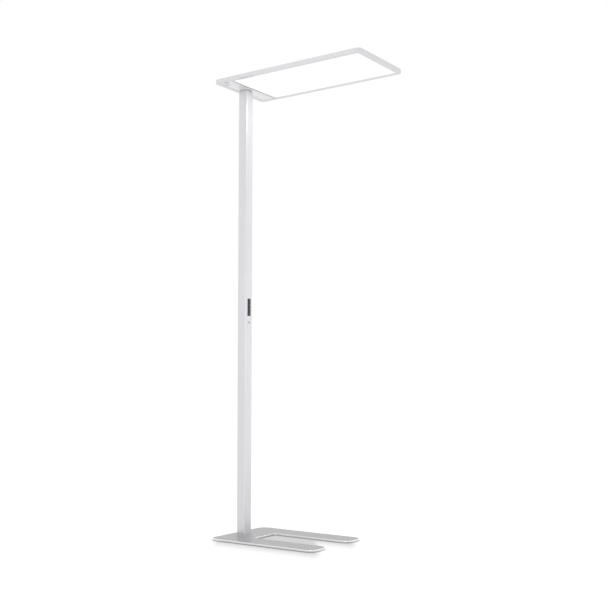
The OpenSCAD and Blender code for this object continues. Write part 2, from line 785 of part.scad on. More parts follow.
module status_window() color(light_grey) {
    along_x(mast_front_x, mast_front_x + window_proud, window_z) stadium(window_l, window_h);
    along_x(mast_front_x - window_depth, mast_front_x + eps, window_z)
        stadium(window_l - 2 * (window_overlap + fit_gap), window_h - 2 * (window_overlap + fit_gap));
}

module status_board() color(board_green) union() {
    along_x(mast_front_x - window_depth - board_t, mast_front_x - window_depth, window_z)
        square([window_l, status_board_h], center = true);
    block([status_lead_x - thin_lead_r, -plug_w / 2, window_z + status_board_h / 2 - status_plug_h],
        [mast_front_x - window_depth - eps, plug_w / 2, window_z + status_board_h / 2]);
}

// ---------- mains inlet ----------

module socket_outline() {
    w = socket_w / 2;
    h = socket_h / 2;
    polygon([[-w, -h], [w - socket_chamfer, -h], [w, socket_chamfer - h],
        [w, h - socket_chamfer], [w - socket_chamfer, h], [-w, h]]);
}

module blade_outlines(gap) {
    for (b = blades) translate(b)
        square([blade_w + 2 * gap, blade_t + 2 * gap], center = true);
}

module mains_inlet() color(dark_grey) difference() {
    union() {
        along_x(inlet_face_x, mast_rear_x, inlet_z)
            round_rect(inlet_flange_w, inlet_flange_h, inlet_corner_r);
        along_x(mast_rear_x - eps, inlet_end_x, inlet_z)
            round_rect(inlet_body_w, inlet_body_h, body_corner_r);
        for (s = [-1, 1]) along_x(inlet_snap_x, inlet_snap_x + snap_d, inlet_z)
            translate([0, s * inlet_body_h / 2]) square([snap_l, 2 * snap_lip], center = true);
    }
    along_x(inlet_face_x - eps, socket_floor_x, inlet_z) socket_outline();
    along_x(socket_floor_x - eps, inlet_end_x + eps, inlet_z) blade_outlines(thread_gap);
}

module inlet_blades() color(brass)
    along_x(socket_floor_x - blade_l, inlet_end_x + blade_tab, inlet_z) blade_outlines(0);

module inlet_boot() color(dark_grey) difference() {
    along_x(inlet_end_x, inlet_end_x + boot_d, inlet_z) round_rect(boot_w, boot_h, boot_corner_r);
    along_x(inlet_end_x - eps, inlet_end_x + blade_tab + tip_gap, inlet_z) blade_outlines(lead_gap);
}

module mains_lead() color(dark_grey)
    post([inlet_end_x + boot_d / 2, 0], lead_r, inlet_z + boot_h / 2, driver_z);

// ---------- driver ----------

module driver() color(light_grey) translate([driver_rear_x + driver_d / 2, 0, 0])
    upright(driver_z, driver_z + driver_l) round_rect(driver_d, driver_w, driver_corner_r);

module driver_bracket() color(steel) difference() {
    union() {
        block([driver_rear_x - bracket_t, -driver_w / 2, driver_z - bracket_end],
            [driver_rear_x, driver_w / 2, driver_z + driver_l + bracket_end]);
        block([driver_rear_x - eps, -driver_w / 2, driver_z - bracket_t],
            [driver_rear_x + driver_d / 2, driver_w / 2, driver_z]);
    }
    for (z = bracket_screw_z) bar_along_x([driver_rear_x - bracket_t - eps, 0, z],
        bracket_t + 2 * eps, screw_r + thread_gap);
}

module driver_screws() color(steel) for (z = bracket_screw_z)
    translate([mast_rear_x, 0, z]) rotate([0, 90, 0])
        countersunk_screw(screw_r, screw_head_r, sink_h, mast_wall + bracket_t + screw_r);

module output_lead() color(dark_grey)
    lead([[output_lead_x, 0, driver_z + driver_l], [output_lead_x, 0, lead_z],
        [output_lead_x, board_near_y, lead_z]], lead_r);

// ---------- head: frame and carrier ----------

// Outline of the head, drawn in by an inset on every side
module head_outline(inset) {
    round_rect(head_l - 2 * inset, head_w - 2 * inset, head_corner_r - inset);
}

module head_frame() color(silver) difference() {
    union() {
        difference() {
            upright(head_z, head_top) head_outline(0);
            upright(rim_top, head_top + eps) head_outline(head_wall);
            upright(cover_z, head_top + eps) head_outline(rebate_w);
            block([rear_x + rim_w, -opening_half_w, head_z - eps],
                [front_x - rim_w, opening_half_w, rim_top + eps]);
        }
        for (p = cover_points) post(p, boss_r, rim_top - eps, cover_z);
        for (x = long_boss_x, s = [-1, 1]) translate([x, s * (boss_y + boss_root_l / 2), 0])
            upright(rim_top - eps, cover_z) square([2 * boss_r, boss_root_l], center = true);
        for (s = [-1, 1]) translate([s * (front_x - head_wall - boss_r + boss_root_l / 2), 0, 0])
            upright(rim_top - eps, cover_z) square([boss_root_l, 2 * boss_r], center = true);
        for (p = carrier_points) post(p, carrier_pad_r, rim_top - eps, carrier_z);
    }
    for (p = cover_points) post(p, screw_r + thread_gap, cover_z - cover_screw_l, cover_z + eps);
    for (p = concat(carrier_points, foot_points))
        post(p, screw_r + thread_gap, head_z + rim_skin, carrier_z + eps);
    translate([mast_x, 0, 0]) upright(head_z - eps, carrier_z) neck_outline(fit_gap);
}

module cross_bar() color(silver) difference() {
    union() {
        block([bar_x, fit_gap - opening_half_w, head_z],
            [bar_x + bar_w, opening_half_w - fit_gap, rim_top]);
        block([bar_x, side_gap - rail_y, rim_top], [web_front_x, rail_y - side_gap, cover_z]);
        for (p = foot_points) translate([p[0], p[1], 0]) upright(rim_top, rim_top + foot_t)
            square([foot_l + eps, 2 * foot_half_w], center = true);
    }
    for (p = foot_points) post(p, screw_r + screw_gap, rim_top - eps, rim_top + foot_t + eps);
    for (s = [-1, 1]) translate([bar_x + bar_web_t / 2, s * (led_lead_y + thin_lead_r), 0])
        upright(lead_z - thin_lead_r - lead_gap, cover_z + eps)
            square([bar_web_t + 2 * eps, 4 * thin_lead_r + 2 * lead_gap], center = true);
}

module cross_bar_screws() color(steel) for (p = foot_points)
    translate([p[0], p[1], rim_top + foot_t])
        pan_screw(screw_r, screw_head_r, pan_h, foot_t + rim_t - rim_skin - tip_gap);

module carrier_plate() color(steel) difference() {
    block([rear_x + head_wall + 2 * boss_r + side_gap, side_gap - rail_y, carrier_z],
        [bar_x - side_gap, rail_y - side_gap, carrier_top]);
    for (s = [-1, 1]) translate([bar_x, s * (carrier_pad_y + foot_half_w), 0])
        upright(carrier_z - eps, carrier_top + eps)
            square([2 * (foot_l + side_gap), 2 * (2 * foot_half_w + side_gap)], center = true);
    upright_hole([mast_x, 0], cable_hole_r);
    for (p = port_points) upright_hole(p, mast_screw_r + screw_gap);
    for (p = carrier_points) upright_hole(p, screw_r + screw_gap);
    for (p = end_screw_points) upright_hole(p, screw_r + thread_gap);
    upright_hole(sensor_pos, sensor_body_r + fit_gap);
    upright_hole(daylight_pos, light_pipe_r + fit_gap);
}

// Hole through the carrier plate
module upright_hole(point, r) {
    post(point, r, carrier_z - eps, carrier_top + eps);
}

module carrier_screws() color(steel) for (p = carrier_points)
    translate([p[0], p[1], carrier_top])
        pan_screw(screw_r, screw_head_r, pan_h, carrier_top - head_z - rim_skin - tip_gap);

// ---------- head: end cover ----------

module end_cover() color(light_grey) difference() {
    union() {
        block([rear_x + rim_w + fit_gap, fit_gap - opening_half_w, end_cover_z],
            [bar_x - fit_gap, opening_half_w - fit_gap, carrier_z]);
        block([rear_x + rim_w - end_lip_w, -opening_half_w - end_lip_w, rim_top],
            [bar_x - fit_gap, opening_half_w + end_lip_w, carrier_z]);
    }
    notch_l = mast_setback + neck_inset + neck_w + side_gap;
    block([rear_x, -neck_w / 2 - side_gap, end_cover_z - eps],
        [rear_x + notch_l, neck_w / 2 + side_gap, carrier_z + eps]);
    post(sensor_pos, sensor_body_r + fit_gap, end_cover_z - eps, carrier_z + eps);
    post(daylight_pos, light_pipe_r + fit_gap, end_cover_z - eps, carrier_z + eps);
    for (p = end_screw_points) translate([p[0], p[1], end_cover_z])
        countersunk_hole(screw_r, screw_head_r, sink_h, carrier_z - end_cover_z, screw_gap);
}

module end_cover_screws() color(steel) for (p = end_screw_points) translate([p[0], p[1], end_cover_z])
    countersunk_screw(screw_r, screw_head_r, sink_h, carrier_top - end_cover_z - tip_gap);

// ---------- head: light panel ----------

// Sheet that fills the panel's outline between two heights
module panel_sheet(low, high) {
    block([panel_rear_x, -panel_half_w, low], [panel_front_x, panel_half_w, high]);
}

module diffuser() color(milky) panel_sheet(rim_top, guide_z);

module light_guide() color(clear_tint) panel_sheet(guide_z, reflector_z);

module reflector_sheet() color(milky) panel_sheet(reflector_z, pad_z);

module foam_pads() color(foam_grey) {
    step_x = (panel_front_x - panel_rear_x) / pads_along;
    step_y = 2 * panel_half_w / pads_across;
    for (i = [0:pads_along - 1], j = [0:pads_across - 1])
        translate([panel_rear_x + (i + 0.5) * step_x, (j + 0.5) * step_y - panel_half_w, 0])
            upright(pad_z, cover_z) square(pad_w, center = true);
}

// Light strip on its board, on the side of the middle plane that s gives
module led_strip(s) color(milky) {
    chip_z = guide_z + guide_t / 2;
    block([led_start_x, s > 0 ? chip_y : -strip_y, rim_top],
        [led_end_x, s > 0 ? strip_y : -chip_y, rim_top + strip_h]);
    for (i = [0:chips - 1])
        translate([led_start_x + (i + 0.5) * chip_pitch, s * (chip_y - chip_t / 2), chip_z])
            cube([chip_w, chip_t + 2 * eps, chip_w], center = true);
}

module led_strip_near() led_strip(-1);
module led_strip_far() led_strip(1);

// Aluminium rail that the light strip is stuck to
module led_rail(s) color(steel)
    block([led_start_x, s > 0 ? strip_y : -rail_y, rim_top],
        [led_end_x, s > 0 ? rail_y : -strip_y, cover_z - side_gap]);

module led_rail_near() led_rail(-1);
module led_rail_far() led_rail(1);

// ---------- head: top cover ----------

module top_cover() color(silver) difference() {
    upright(cover_z, head_top) head_outline(rebate_w + fit_gap);
    for (p = cover_points) translate([p[0], p[1], head_top]) mirror([0, 0, 1])
        countersunk_hole(screw_r, screw_head_r, sink_h, cover_t, screw_gap);
}

module top_cover_screws() color(steel) for (p = cover_points)
    translate([p[0], p[1], head_top]) mirror([0, 0, 1])
        countersunk_screw(screw_r, screw_head_r, sink_h, cover_screw_l);

// ---------- head: electronics and leads ----------

module led_leads() color(dark_grey) {
    lead([[led_lead_x, board_near_y, lead_z], [led_lead_x, -led_lead_y, lead_z],
        [led_start_x, -led_lead_y, lead_z]], thin_lead_r);
    lead([[led_lead_x, board_far_y, lead_z], [led_lead_x, led_lead_y, lead_z],
        [led_start_x, led_lead_y, lead_z]], thin_lead_r);
}

module head_board() color(board_green) difference() {
    union() {
        block([mast_x - head_board_w / 2, board_near_y, head_board_z],
            [mast_x + head_board_w / 2, board_far_y, head_board_top]);
        for (x = [output_lead_x, control_lead_x, sensor_lead_x, led_lead_x])
            block([x - plug_w / 2, board_near_y, head_board_top - eps],
                [x + plug_w / 2, board_near_y + plug_l, head_board_top + 2 * lead_r]);
        block([led_lead_x - plug_w / 2, board_far_y - plug_l, head_board_top - eps],
            [led_lead_x + plug_w / 2, board_far_y, head_board_top + 2 * lead_r]);
    }
    for (p = pillar_points) post(p, pillar_pin_r + thread_gap, head_board_z - eps, head_board_top + eps);
}

module board_pillars() color(light_grey) for (p = pillar_points) {
    post(p, 2 * pillar_pin_r, carrier_top, head_board_z);
    post(p, pillar_pin_r, head_board_z - eps, head_board_top + pillar_pin_proud);
}

// ---------- head: sensors ----------

module sensor_housing() color(light_grey) difference() {
    union() {
        post(sensor_pos, sensor_r, sensor_face_z, end_cover_z);
        post(sensor_pos, sensor_body_r, end_cover_z - eps, sensor_top);
    }
    post(sensor_pos, lens_r + thread_gap, sensor_face_z - eps, lens_z + lens_t);
    post(sensor_pos, sensor_bore_r, sensor_face_z, sensor_top + eps);
}

module sensor_lens() color(light_grey) post(sensor_pos, lens_r, lens_z, lens_z + lens_t);

module sensor_nut() color(steel) difference() {
    post(sensor_pos, nut_r, carrier_top, carrier_top + nut_t);
    post(sensor_pos, sensor_body_r + thread_gap, carrier_top - eps, carrier_top + nut_t + eps);
}

// Board on the sensor's body, with a tongue that reaches over the daylight window's pipe
module sensor_board() color(board_green) {
    post(sensor_pos, sensor_body_r, sensor_top, sensor_board_top);
    post(sensor_pos, detector_r, sensor_top - detector_h, sensor_top + eps);
    block([daylight_pos[0] - light_pipe_r, sensor_pos[1], sensor_top],
        [daylight_pos[0] + light_pipe_r, daylight_pos[1] + light_pipe_r, sensor_board_top]);
    block([sensor_lead_x - plug_w / 2, sensor_pos[1] - plug_l / 4, sensor_board_top - eps],
        [sensor_lead_x + plug_w / 2, sensor_pos[1] + plug_l / 4, lead_z + thin_lead_r]);
}

module sensor_lead() color(dark_grey)
    translate([sensor_lead_x, sensor_pos[1] + plug_l / 4, lead_z]) rotate([-90, 0, 0])
        cylinder(r = thin_lead_r, h = board_near_y - sensor_pos[1] - plug_l / 4);

module daylight_window() color(milky) {
    post(daylight_pos, daylight_r, end_cover_z - daylight_proud, end_cover_z);
    post(daylight_pos, light_pipe_r, end_cover_z - eps, sensor_top);
}

// ---------- every piece in its own node ----------

base_plate();
glides();
base_screws();
mast();
neck_collar();
neck_screws();
control_bezel();
key_power();
key_brighter();
key_dimmer();
key_auto();
key_switches();
control_board();
control_back();
control_screws();
control_leads();
status_window();
status_board();
mains_inlet();
inlet_blades();
inlet_boot();
mains_lead();
driver();
driver_bracket();
driver_screws();
output_lead();
head_frame();
cross_bar();
cross_bar_screws();
carrier_plate();
carrier_screws();
end_cover();
end_cover_screws();
diffuser();
light_guide();
reflector_sheet();
foam_pads();
led_strip_near();
led_strip_far();
led_rail_near();
led_rail_far();
led_leads();
top_cover();
top_cover_screws();
head_board();
board_pillars();
sensor_housing();
sensor_lens();
sensor_nut();
sensor_board();
sensor_lead();
daylight_window();
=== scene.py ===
"""Office floor lamp: its finishes, softened edges, screw sockets and raised key marks, in a pale studio."""

import json
from math import cos, pi, radians, sin

import bmesh
import bpy
from mathutils import Matrix, Vector


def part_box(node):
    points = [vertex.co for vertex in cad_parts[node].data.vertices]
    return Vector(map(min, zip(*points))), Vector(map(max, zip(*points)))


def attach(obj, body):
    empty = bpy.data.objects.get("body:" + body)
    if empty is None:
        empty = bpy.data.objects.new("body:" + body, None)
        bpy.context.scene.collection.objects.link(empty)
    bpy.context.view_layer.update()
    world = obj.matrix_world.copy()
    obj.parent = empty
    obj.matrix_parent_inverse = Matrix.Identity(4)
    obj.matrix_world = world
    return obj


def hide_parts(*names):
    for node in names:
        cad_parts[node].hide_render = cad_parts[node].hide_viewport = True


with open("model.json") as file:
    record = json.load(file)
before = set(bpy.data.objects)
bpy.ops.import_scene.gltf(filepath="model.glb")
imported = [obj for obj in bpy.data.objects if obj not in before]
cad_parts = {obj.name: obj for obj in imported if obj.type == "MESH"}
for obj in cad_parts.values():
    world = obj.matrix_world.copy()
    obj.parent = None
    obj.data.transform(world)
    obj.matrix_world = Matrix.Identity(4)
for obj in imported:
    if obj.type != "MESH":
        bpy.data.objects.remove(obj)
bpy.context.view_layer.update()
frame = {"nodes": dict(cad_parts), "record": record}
scene = bpy.context.scene
cad_nodes = frame["nodes"]
record = frame["record"]
slot_of = {part["node"]: part["material_slot"] for part in record["subparts"]}
body_of = {node: body for body, members in record["behaviour"]["bodies"].items() for node in members}

MM = 0.001
X, Y, Z = 0, 1, 2
LOW, HIGH = 0, 1

# ---------- camera ----------

CAMERA_PLACE = (2.2605, -3.2730, 0.6739)
CAMERA_YAW = radians(34.80)
CAMERA_PITCH = radians(4.36)
CAMERA_RANGE = 60.0
FOCAL_LENGTH = 56.77
SENSOR_WIDTH = 36.0


def make_camera():
    data = bpy.data.cameras.new("studio_camera")
    data.sensor_width = SENSOR_WIDTH
    data.lens = FOCAL_LENGTH
    data.clip_end = CAMERA_RANGE
    camera = bpy.data.objects.new("studio_camera", data)
    camera.location = CAMERA_PLACE
    camera.rotation_euler = (pi / 2 + CAMERA_PITCH, 0, CAMERA_YAW)
    scene.collection.objects.link(camera)
    scene.camera = camera


# ---------- node trees ----------

MIX_FACTOR, MIX_FIRST, MIX_SECOND = 0, 6, 7
MIX_RESULT = 2


class NodeTree:
    """The node tree of a finish or of the world, with short calls for the nodes that they share."""

    def __init__(self, tree):
        self.tree = tree

    def feed(self, node, inputs):
        """Links or sets each input of a node, which goes by its name or its number."""
        for key, value in inputs.items():
            socket = node.inputs[key]
            if isinstance(value, bpy.types.NodeSocket):
                self.tree.links.new(value, socket)
            else:
                socket.default_value = value

    def node(self, kind, inputs=None, **settings):
        node = self.tree.nodes.new(kind)
        for name, value in settings.items():
            setattr(node, name, value)
        self.feed(node, inputs or {})
        return node

    def maths(self, operation, *values):
        return self.node("ShaderNodeMath", dict(enumerate(values)), operation=operation).outputs[0]

    def product(self, *values):
        total = values[0]
        for value in values[1:]:
            total = self.maths("MULTIPLY", total, value)
        return total

    def span(self, value, low, high, start=0.3, end=0.7, shape="LINEAR"):
        """Carries value from start..end over to low..high, and holds it there outside."""
        inputs = {"Value": value, "From Min": start, "From Max": end, "To Min": low, "To Max": high}
        return self.node("ShaderNodeMapRange", inputs, interpolation_type=shape).outputs["Result"]

    def mix(self, factor, first, second):
        inputs = {MIX_FACTOR: factor, MIX_FIRST: first, MIX_SECOND: second}
        return self.node("ShaderNodeMix", inputs, data_type="RGBA").outputs[MIX_RESULT]

    def seen_directly(self):
        """1 for camera, glossy and transmission rays, and 0 for the rays that carry light onto things."""
        ray = self.node("ShaderNodeLightPath").outputs
        mirrored = self.maths("MAXIMUM", ray["Is Glossy Ray"], ray["Is Transmission Ray"])
        return self.maths("MAXIMUM", ray["Is Camera Ray"], mirrored)


# ---------- finishes ----------

# The base plate's sides, painted far lighter than its top as painted light: the attribute that marks them,
# how much smoother they are than the faces, and how metallic.
LIT_SIDE_MARK = "painted_lit_side"
EDGE_POLISH = 0.12
EDGE_METAL = 0.72


class Finish(NodeTree):
    """One finish, with patterns in object coordinates."""

    def __init__(self, name, colour, rough, **sockets):
        self.name = name
        self.material = bpy.data.materials.new(name)
        self.material.use_nodes = True
        super().__init__(self.material.node_tree)
        self.shader = self.tree.nodes["Principled BSDF"]
        self.colour = colour
        self.rough = rough
        self.point = self.node("ShaderNodeTexCoord").outputs["Object"]
        self.feed(self.shader, {"Base Color": (*colour, 1), "Roughness": rough, **sockets})

    def stretched(self, stretch):
        """Object coordinates, drawn out along the axes where stretch is above 1."""
        scale = tuple(1 / s for s in stretch)
        return self.node("ShaderNodeMapping", {"Vector": self.point, "Scale": scale}).outputs[0]

    def grain(self, size, stretch=(1, 1, 1), detail=2.0):
        """Noise whose features are about size metres across."""
        inputs = {"Vector": self.stretched(stretch), "Scale": 1 / size, "Detail": detail}
        return self.node("ShaderNodeTexNoise", inputs).outputs["Fac"]

    def cells(self, size, stretch=(1, 1, 1)):
        """Distance to the nearest of scattered points that lie about size metres apart."""
        inputs = {"Vector": self.stretched(stretch), "Scale": 1 / size}
        return self.node("ShaderNodeTexVoronoi", inputs).outputs["Distance"]

    def shade(self, factor, change):
        """The finish's colour, from darker to lighter by change, where factor goes from 0 to 1."""
        dark = (*(c * (1 - change) for c in self.colour), 1)
        light = (*(min(c * (1 + change), 1) for c in self.colour), 1)
        return self.mix(factor, dark, light)

    def vary(self, tone_map, tone_change, rough_map, rough_change):
        """Lets the colour and the roughness wander about their middle, each after its own pattern."""
        self.feed(self.shader, {
            "Base Color": self.shade(self.span(tone_map, 0, 1), tone_change),
            "Roughness": self.span(rough_map, self.rough - rough_change, self.rough + rough_change),
        })

    def relief(self, height, depth):
        """Fine surface relief of that depth in metres."""
        bump = self.node("ShaderNodeBump", {"Height": height, "Distance": depth, "Strength": 1.0})
        self.feed(self.shader, {"Normal": bump.outputs[0]})


def drawn_out(along, factor):
    """Stretch of a pattern along the profile's own direction."""
    return [factor if a else 1 for a in along]


def extruded_aluminium(name, colour, rough, along, metallic):
    """Satin anodised profile: faint die lines along it, a fine blasted grain and slow changes of tone."""
    finish = Finish(name, colour, rough, Metallic=metallic)
    lines = finish.grain(1.1 * MM, drawn_out(along, 300), detail=3)
    blast = finish.grain(0.5 * MM, detail=3)
    cloud = finish.grain(60 * MM, drawn_out(along, 5))
    skin = finish.mix(0.5, lines, blast)
    finish.vary(finish.mix(0.4, cloud, lines), 0.03, rough_map=skin, rough_change=0.05)
    finish.relief(skin, depth=0.0015 * MM)
    return finish


def lit_side_mask(finish):
    """1 on the faces that are marked as the base plate's sides, which are painted lighter, and 0 elsewhere.
    """
    node = finish.node("ShaderNodeAttribute", attribute_name=LIT_SIDE_MARK)
    return node.outputs["Fac"]


def silver_coat(name, colour, rough, metallic, lit_side_colour):
    """Silver coat on brushed plate: streaky mottling, fine flakes, and sides painted brighter than the top
    as painted light.
    """
    finish = Finish(name, colour, rough, Metallic=metallic)
    brush = finish.grain(6 * MM, (8, 1, 1), detail=4)
    cloud = finish.grain(45 * MM, (2, 1, 1))
    flakes = finish.cells(0.35 * MM)
    peel = finish.grain(1.6 * MM)
    face = finish.shade(finish.span(finish.mix(0.45, cloud, brush), 0, 1), change=0.055)
    # Painted light: the marked sides take a far lighter colour than the top, and a smoother, more metallic
    # surface.
    painted_lit_sides = finish.product(finish.span(finish.grain(9 * MM), 0.88, 1), lit_side_mask(finish))
    sheen = finish.span(finish.mix(0.5, brush, flakes), rough - 0.05, rough + 0.05)
    finish.feed(finish.shader, {
        "Base Color": finish.mix(painted_lit_sides, face, (*lit_side_colour, 1)),
        "Roughness": finish.maths("SUBTRACT", sheen, finish.product(painted_lit_sides, EDGE_POLISH)),
        "Metallic": finish.maths("MULTIPLY_ADD", painted_lit_sides, EDGE_METAL - metallic, metallic),
    })
    finish.relief(finish.mix(0.4, peel, flakes), depth=0.004 * MM)
    return finish


def brushed_metal(name, colour, rough, stretch=(1, 60, 1), metallic=1.0):
    """Rolled or turned metal with fine scratches drawn out along one direction."""
    finish = Finish(name, colour, rough, Metallic=metallic)
    scratches = finish.grain(0.12 * MM, stretch, detail=4)
    cloud = finish.grain(8 * MM)
    finish.vary(finish.mix(0.5, cloud, scratches), 0.08, rough_map=scratches, rough_change=0.09)
    finish.relief(scratches, depth=0.008 * MM)
    return finish


def moulded_plastic(name, colour, rough, grain=0.45, depth=0.02, metallic=0.0):
    """Injection moulding, or a coat like one, with a spark-eroded grain, sized in millimetres."""
    finish = Finish(name, colour, rough, **{"Specular IOR Level": 0.5, "Metallic": metallic})
    pits = finish.grain(grain * MM, detail=3)
    cloud = finish.grain(25 * MM)
    finish.vary(finish.mix(0.4, cloud, pits), 0.07, rough_map=pits, rough_change=0.06)
    finish.relief(pits, depth * MM)
    return finish


def rubber(name, colour, rough):
    finish = Finish(name, colour, rough, **{"Specular IOR Level": 0.25})
    speck = finish.grain(0.5 * MM, detail=4)
    finish.vary(speck, 0.18, rough_map=finish.grain(3 * MM), rough_change=0.08)
    finish.relief(speck, depth=0.05 * MM)
    return finish


def foam(name, colour, rough):
    finish = Finish(name, colour, rough, **{"Specular IOR Level": 0.1})
    pores = finish.cells(0.9 * MM)
    finish.vary(pores, 0.35, rough_map=pores, rough_change=0.04)
    finish.relief(pores, depth=0.3 * MM)
    return finish


def circuit_board(name, colour, rough):
    """Green solder mask over a mesh of copper tracks that shows through a shade lighter."""
    finish = Finish(name, colour, rough, **{"Coat Weight": 0.4})
    weave = finish.node("ShaderNodeTexBrick", {
        "Vector": finish.stretched((1, 1, 1)), "Scale": 1 / (6 * MM), "Mortar Size": 0.06,
        "Color1": (0, 0, 0, 1), "Color2": (0.15, 0.15, 0.15, 1), "Mortar": (1, 1, 1, 1),
    }, offset=0.35).outputs["Color"]
    light = tuple(min(1, 1.7 * c) for c in colour)
    finish.feed(finish.shader, {
        "Base Color": finish.mix(weave, (*colour, 1), (*light, 1)),
        "Roughness": finish.span(finish.grain(1.5 * MM), rough - 0.08, rough + 0.08),
    })
    finish.relief(weave, depth=0.03 * MM)
    return finish


def opal_diffuser(name, colour, rough, glow):
    """Glowing opal sheet with a fine field of lens-shaped dimples."""
    finish = Finish(name, colour, rough, **{"Emission Strength": glow})
    dimples = finish.cells(1.6 * MM)
    cloud = finish.grain(120 * MM)
    patches = finish.span(finish.mix(0.5, cloud, dimples), 0, 1)
    glow_colour = finish.mix(patches, (0.97, 0.975, 0.98, 1), (1, 1, 1, 1))
    finish.vary(dimples, 0.02, rough_map=dimples, rough_change=0.05)
    finish.feed(finish.shader, {"Emission Color": glow_colour})
    finish.relief(dimples, depth=0.06 * MM)
    return finish


def clear_plastic(name, colour, rough, transmission):
    """Clear or tinted moulding with faint flow marks in its polish."""
    finish = Finish(name, colour, rough, **{"Transmission Weight": transmission, "IOR": 1.49})
    flow = finish.grain(6 * MM, (3, 1, 1))
    finish.vary(flow, 0.03, rough_map=finish.grain(0.8 * MM), rough_change=rough * 0.3)
    finish.relief(flow, depth=0.01 * MM)
    return finish


def segmented_lens(name, colour, rough, metallic):
    """Milky lens with a field of small facets on its face."""
    finish = Finish(name, colour, rough, Metallic=metallic)
    facets = finish.cells(2.6 * MM, (1, 1, 20))
    finish.vary(facets, 0.05, rough_map=finish.grain(0.6 * MM), rough_change=0.05)
    finish.relief(facets, depth=0.25 * MM)
    return finish


def cable_sheath(name, colour, rough):
    finish = Finish(name, colour, rough)
    skin = finish.grain(0.4 * MM, (1, 1, 12))
    finish.vary(skin, 0.15, rough_map=skin, rough_change=0.08)
    finish.relief(skin, depth=0.02 * MM)
    return finish


def make_finishes():
    """One finish for each material slot of the record, and one for the raised marks on the keys."""
    made = [
        # The base plate's sides are painted far lighter than its top, as painted light.
        silver_coat("silver_paint", (0.45, 0.45, 0.465), 0.29, metallic=0.20,
                    lit_side_colour=(0.93, 0.93, 0.935)),
        extruded_aluminium("silver_mast", (0.74, 0.74, 0.765), 0.38, along=(0, 0, 1), metallic=0.60),
        extruded_aluminium("silver_head", (0.775, 0.775, 0.79), 0.38, along=(1, 0, 0), metallic=0.68),
        rubber("glide_rubber", (0.055, 0.055, 0.058), 0.85),
        moulded_plastic("screw_painted", (0.86, 0.86, 0.87), 0.30, grain=0.3, depth=0.003, metallic=0.5),
        brushed_metal("screw_steel", (0.62, 0.62, 0.64), 0.32, stretch=(12, 12, 1)),
        brushed_metal("sheet_steel", (0.56, 0.57, 0.60), 0.38),
        brushed_metal("switch_metal", (0.60, 0.60, 0.61), 0.35),
        brushed_metal("neck_steel", (0.66, 0.66, 0.67), 0.42, stretch=(40, 40, 1), metallic=0.8),
        moulded_plastic("trim_grey", (0.60, 0.60, 0.61), 0.45, metallic=0.3),
        moulded_plastic("panel_black", (0.020, 0.020, 0.023), 0.40, grain=0.3, depth=0.012),
        moulded_plastic("key_black", (0.026, 0.026, 0.030), 0.46, grain=0.25, depth=0.012),
        moulded_plastic("inlet_black", (0.018, 0.018, 0.020), 0.48),
        brushed_metal("contact_brass", (0.72, 0.52, 0.24), 0.28, stretch=(30, 1, 1)),
        circuit_board("board_green", (0.012, 0.09, 0.035), 0.38),
        cable_sheath("lead_sheath", (0.03, 0.03, 0.03), 0.6),
        moulded_plastic("driver_case", (0.70, 0.70, 0.70), 0.55, grain=0.7, depth=0.03),
        moulded_plastic("pillar_nylon", (0.78, 0.78, 0.74), 0.5),
        moulded_plastic("status_grey", (0.52, 0.53, 0.54), 0.32, grain=0.2, depth=0.006),
        moulded_plastic("cover_grey", (0.90, 0.90, 0.912), 0.36, grain=0.5, depth=0.0002, metallic=0.65),
        moulded_plastic("sensor_white", (0.95, 0.95, 0.95), 0.55, grain=0.3, depth=0.002, metallic=0.15),
        segmented_lens("sensor_lens", (0.70, 0.70, 0.71), 0.3, metallic=0.35),
        clear_plastic("light_pipe", (0.97, 0.97, 0.98), 0.12, transmission=0.25),
        opal_diffuser("diffuser_opal", (0.62, 0.62, 0.62), 0.42, glow=0.62),
        clear_plastic("guide_acrylic", (0.95, 0.98, 0.985), 0.03, transmission=0.95),
        moulded_plastic("reflector_white", (0.90, 0.90, 0.90), 0.5, grain=0.6, depth=0.01),
        foam("foam_grey", (0.09, 0.09, 0.10), 0.95),
        moulded_plastic("strip_white", (0.84, 0.84, 0.80), 0.35, grain=0.5, depth=0.01),
        extruded_aluminium("rail_aluminium", (0.72, 0.72, 0.73), 0.35, along=(1, 0, 0), metallic=0.9),
        moulded_plastic("mark_grey", (0.42, 0.42, 0.43), 0.5, grain=0.2, depth=0.004),
    ]
    return {finish.name: finish.material for finish in made}


FINISHES = make_finishes()


def dress_nodes():
    """Gives every CAD node the finish of its slot."""
    for name, node in cad_nodes.items():
        for slot in node.material_slots:
            slot.material = FINISHES[slot_of[name]]


# ---------- pieces ----------

# Faces are shaded as one surface up to the first angle, and edges count as sharp from the second. Triangles
# of the CAD that turn by less than the third are joined into one face.
SMOOTH_ANGLE = radians(32)
SHARP_ANGLE = radians(40)
FLAT_ANGLE = radians(0.4)
MERGE_GAP = 0.001 * MM
EDGE_GAP = 0.05 * MM
FACE_GAP = 0.02 * MM


def add_piece(name, bm, body, slot, finish=None, stands_for=()):
    """Turns a bmesh into a piece that rides on a body. Flat faces stay flat beside their rounded edges."""
    mesh = bpy.data.meshes.new(name)
    bm.to_mesh(mesh)
    bm.free()
    mesh.shade_smooth()
    mesh.set_sharp_from_angle(angle=SMOOTH_ANGLE)
    mesh.materials.append(FINISHES[finish or slot])
    piece = bpy.data.objects.new(name, mesh)
    scene.collection.objects.link(piece)
    weighted = piece.modifiers.new("flat_faces_stay_flat", "WEIGHTED_NORMAL")
    weighted.keep_sharp = True
    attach(piece, body)
    if stands_for:
        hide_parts(*stands_for)


def replace_node(node, bm):
    """Turns a bmesh into the finished piece that stands for a CAD node."""
    add_piece(node + "_finished", bm, body_of[node], slot_of[node], stands_for=(node,))


def merged_copy(node):
    """A bmesh of a CAD node, with its loose triangles joined into whole faces."""
    bm = bmesh.new()
    bm.from_mesh(cad_nodes[node].data)
    bmesh.ops.remove_doubles(bm, verts=bm.verts, dist=MERGE_GAP)
    bmesh.ops.dissolve_limit(bm, angle_limit=FLAT_ANGLE, verts=bm.verts, edges=bm.edges)
    bm.normal_update()
    return bm


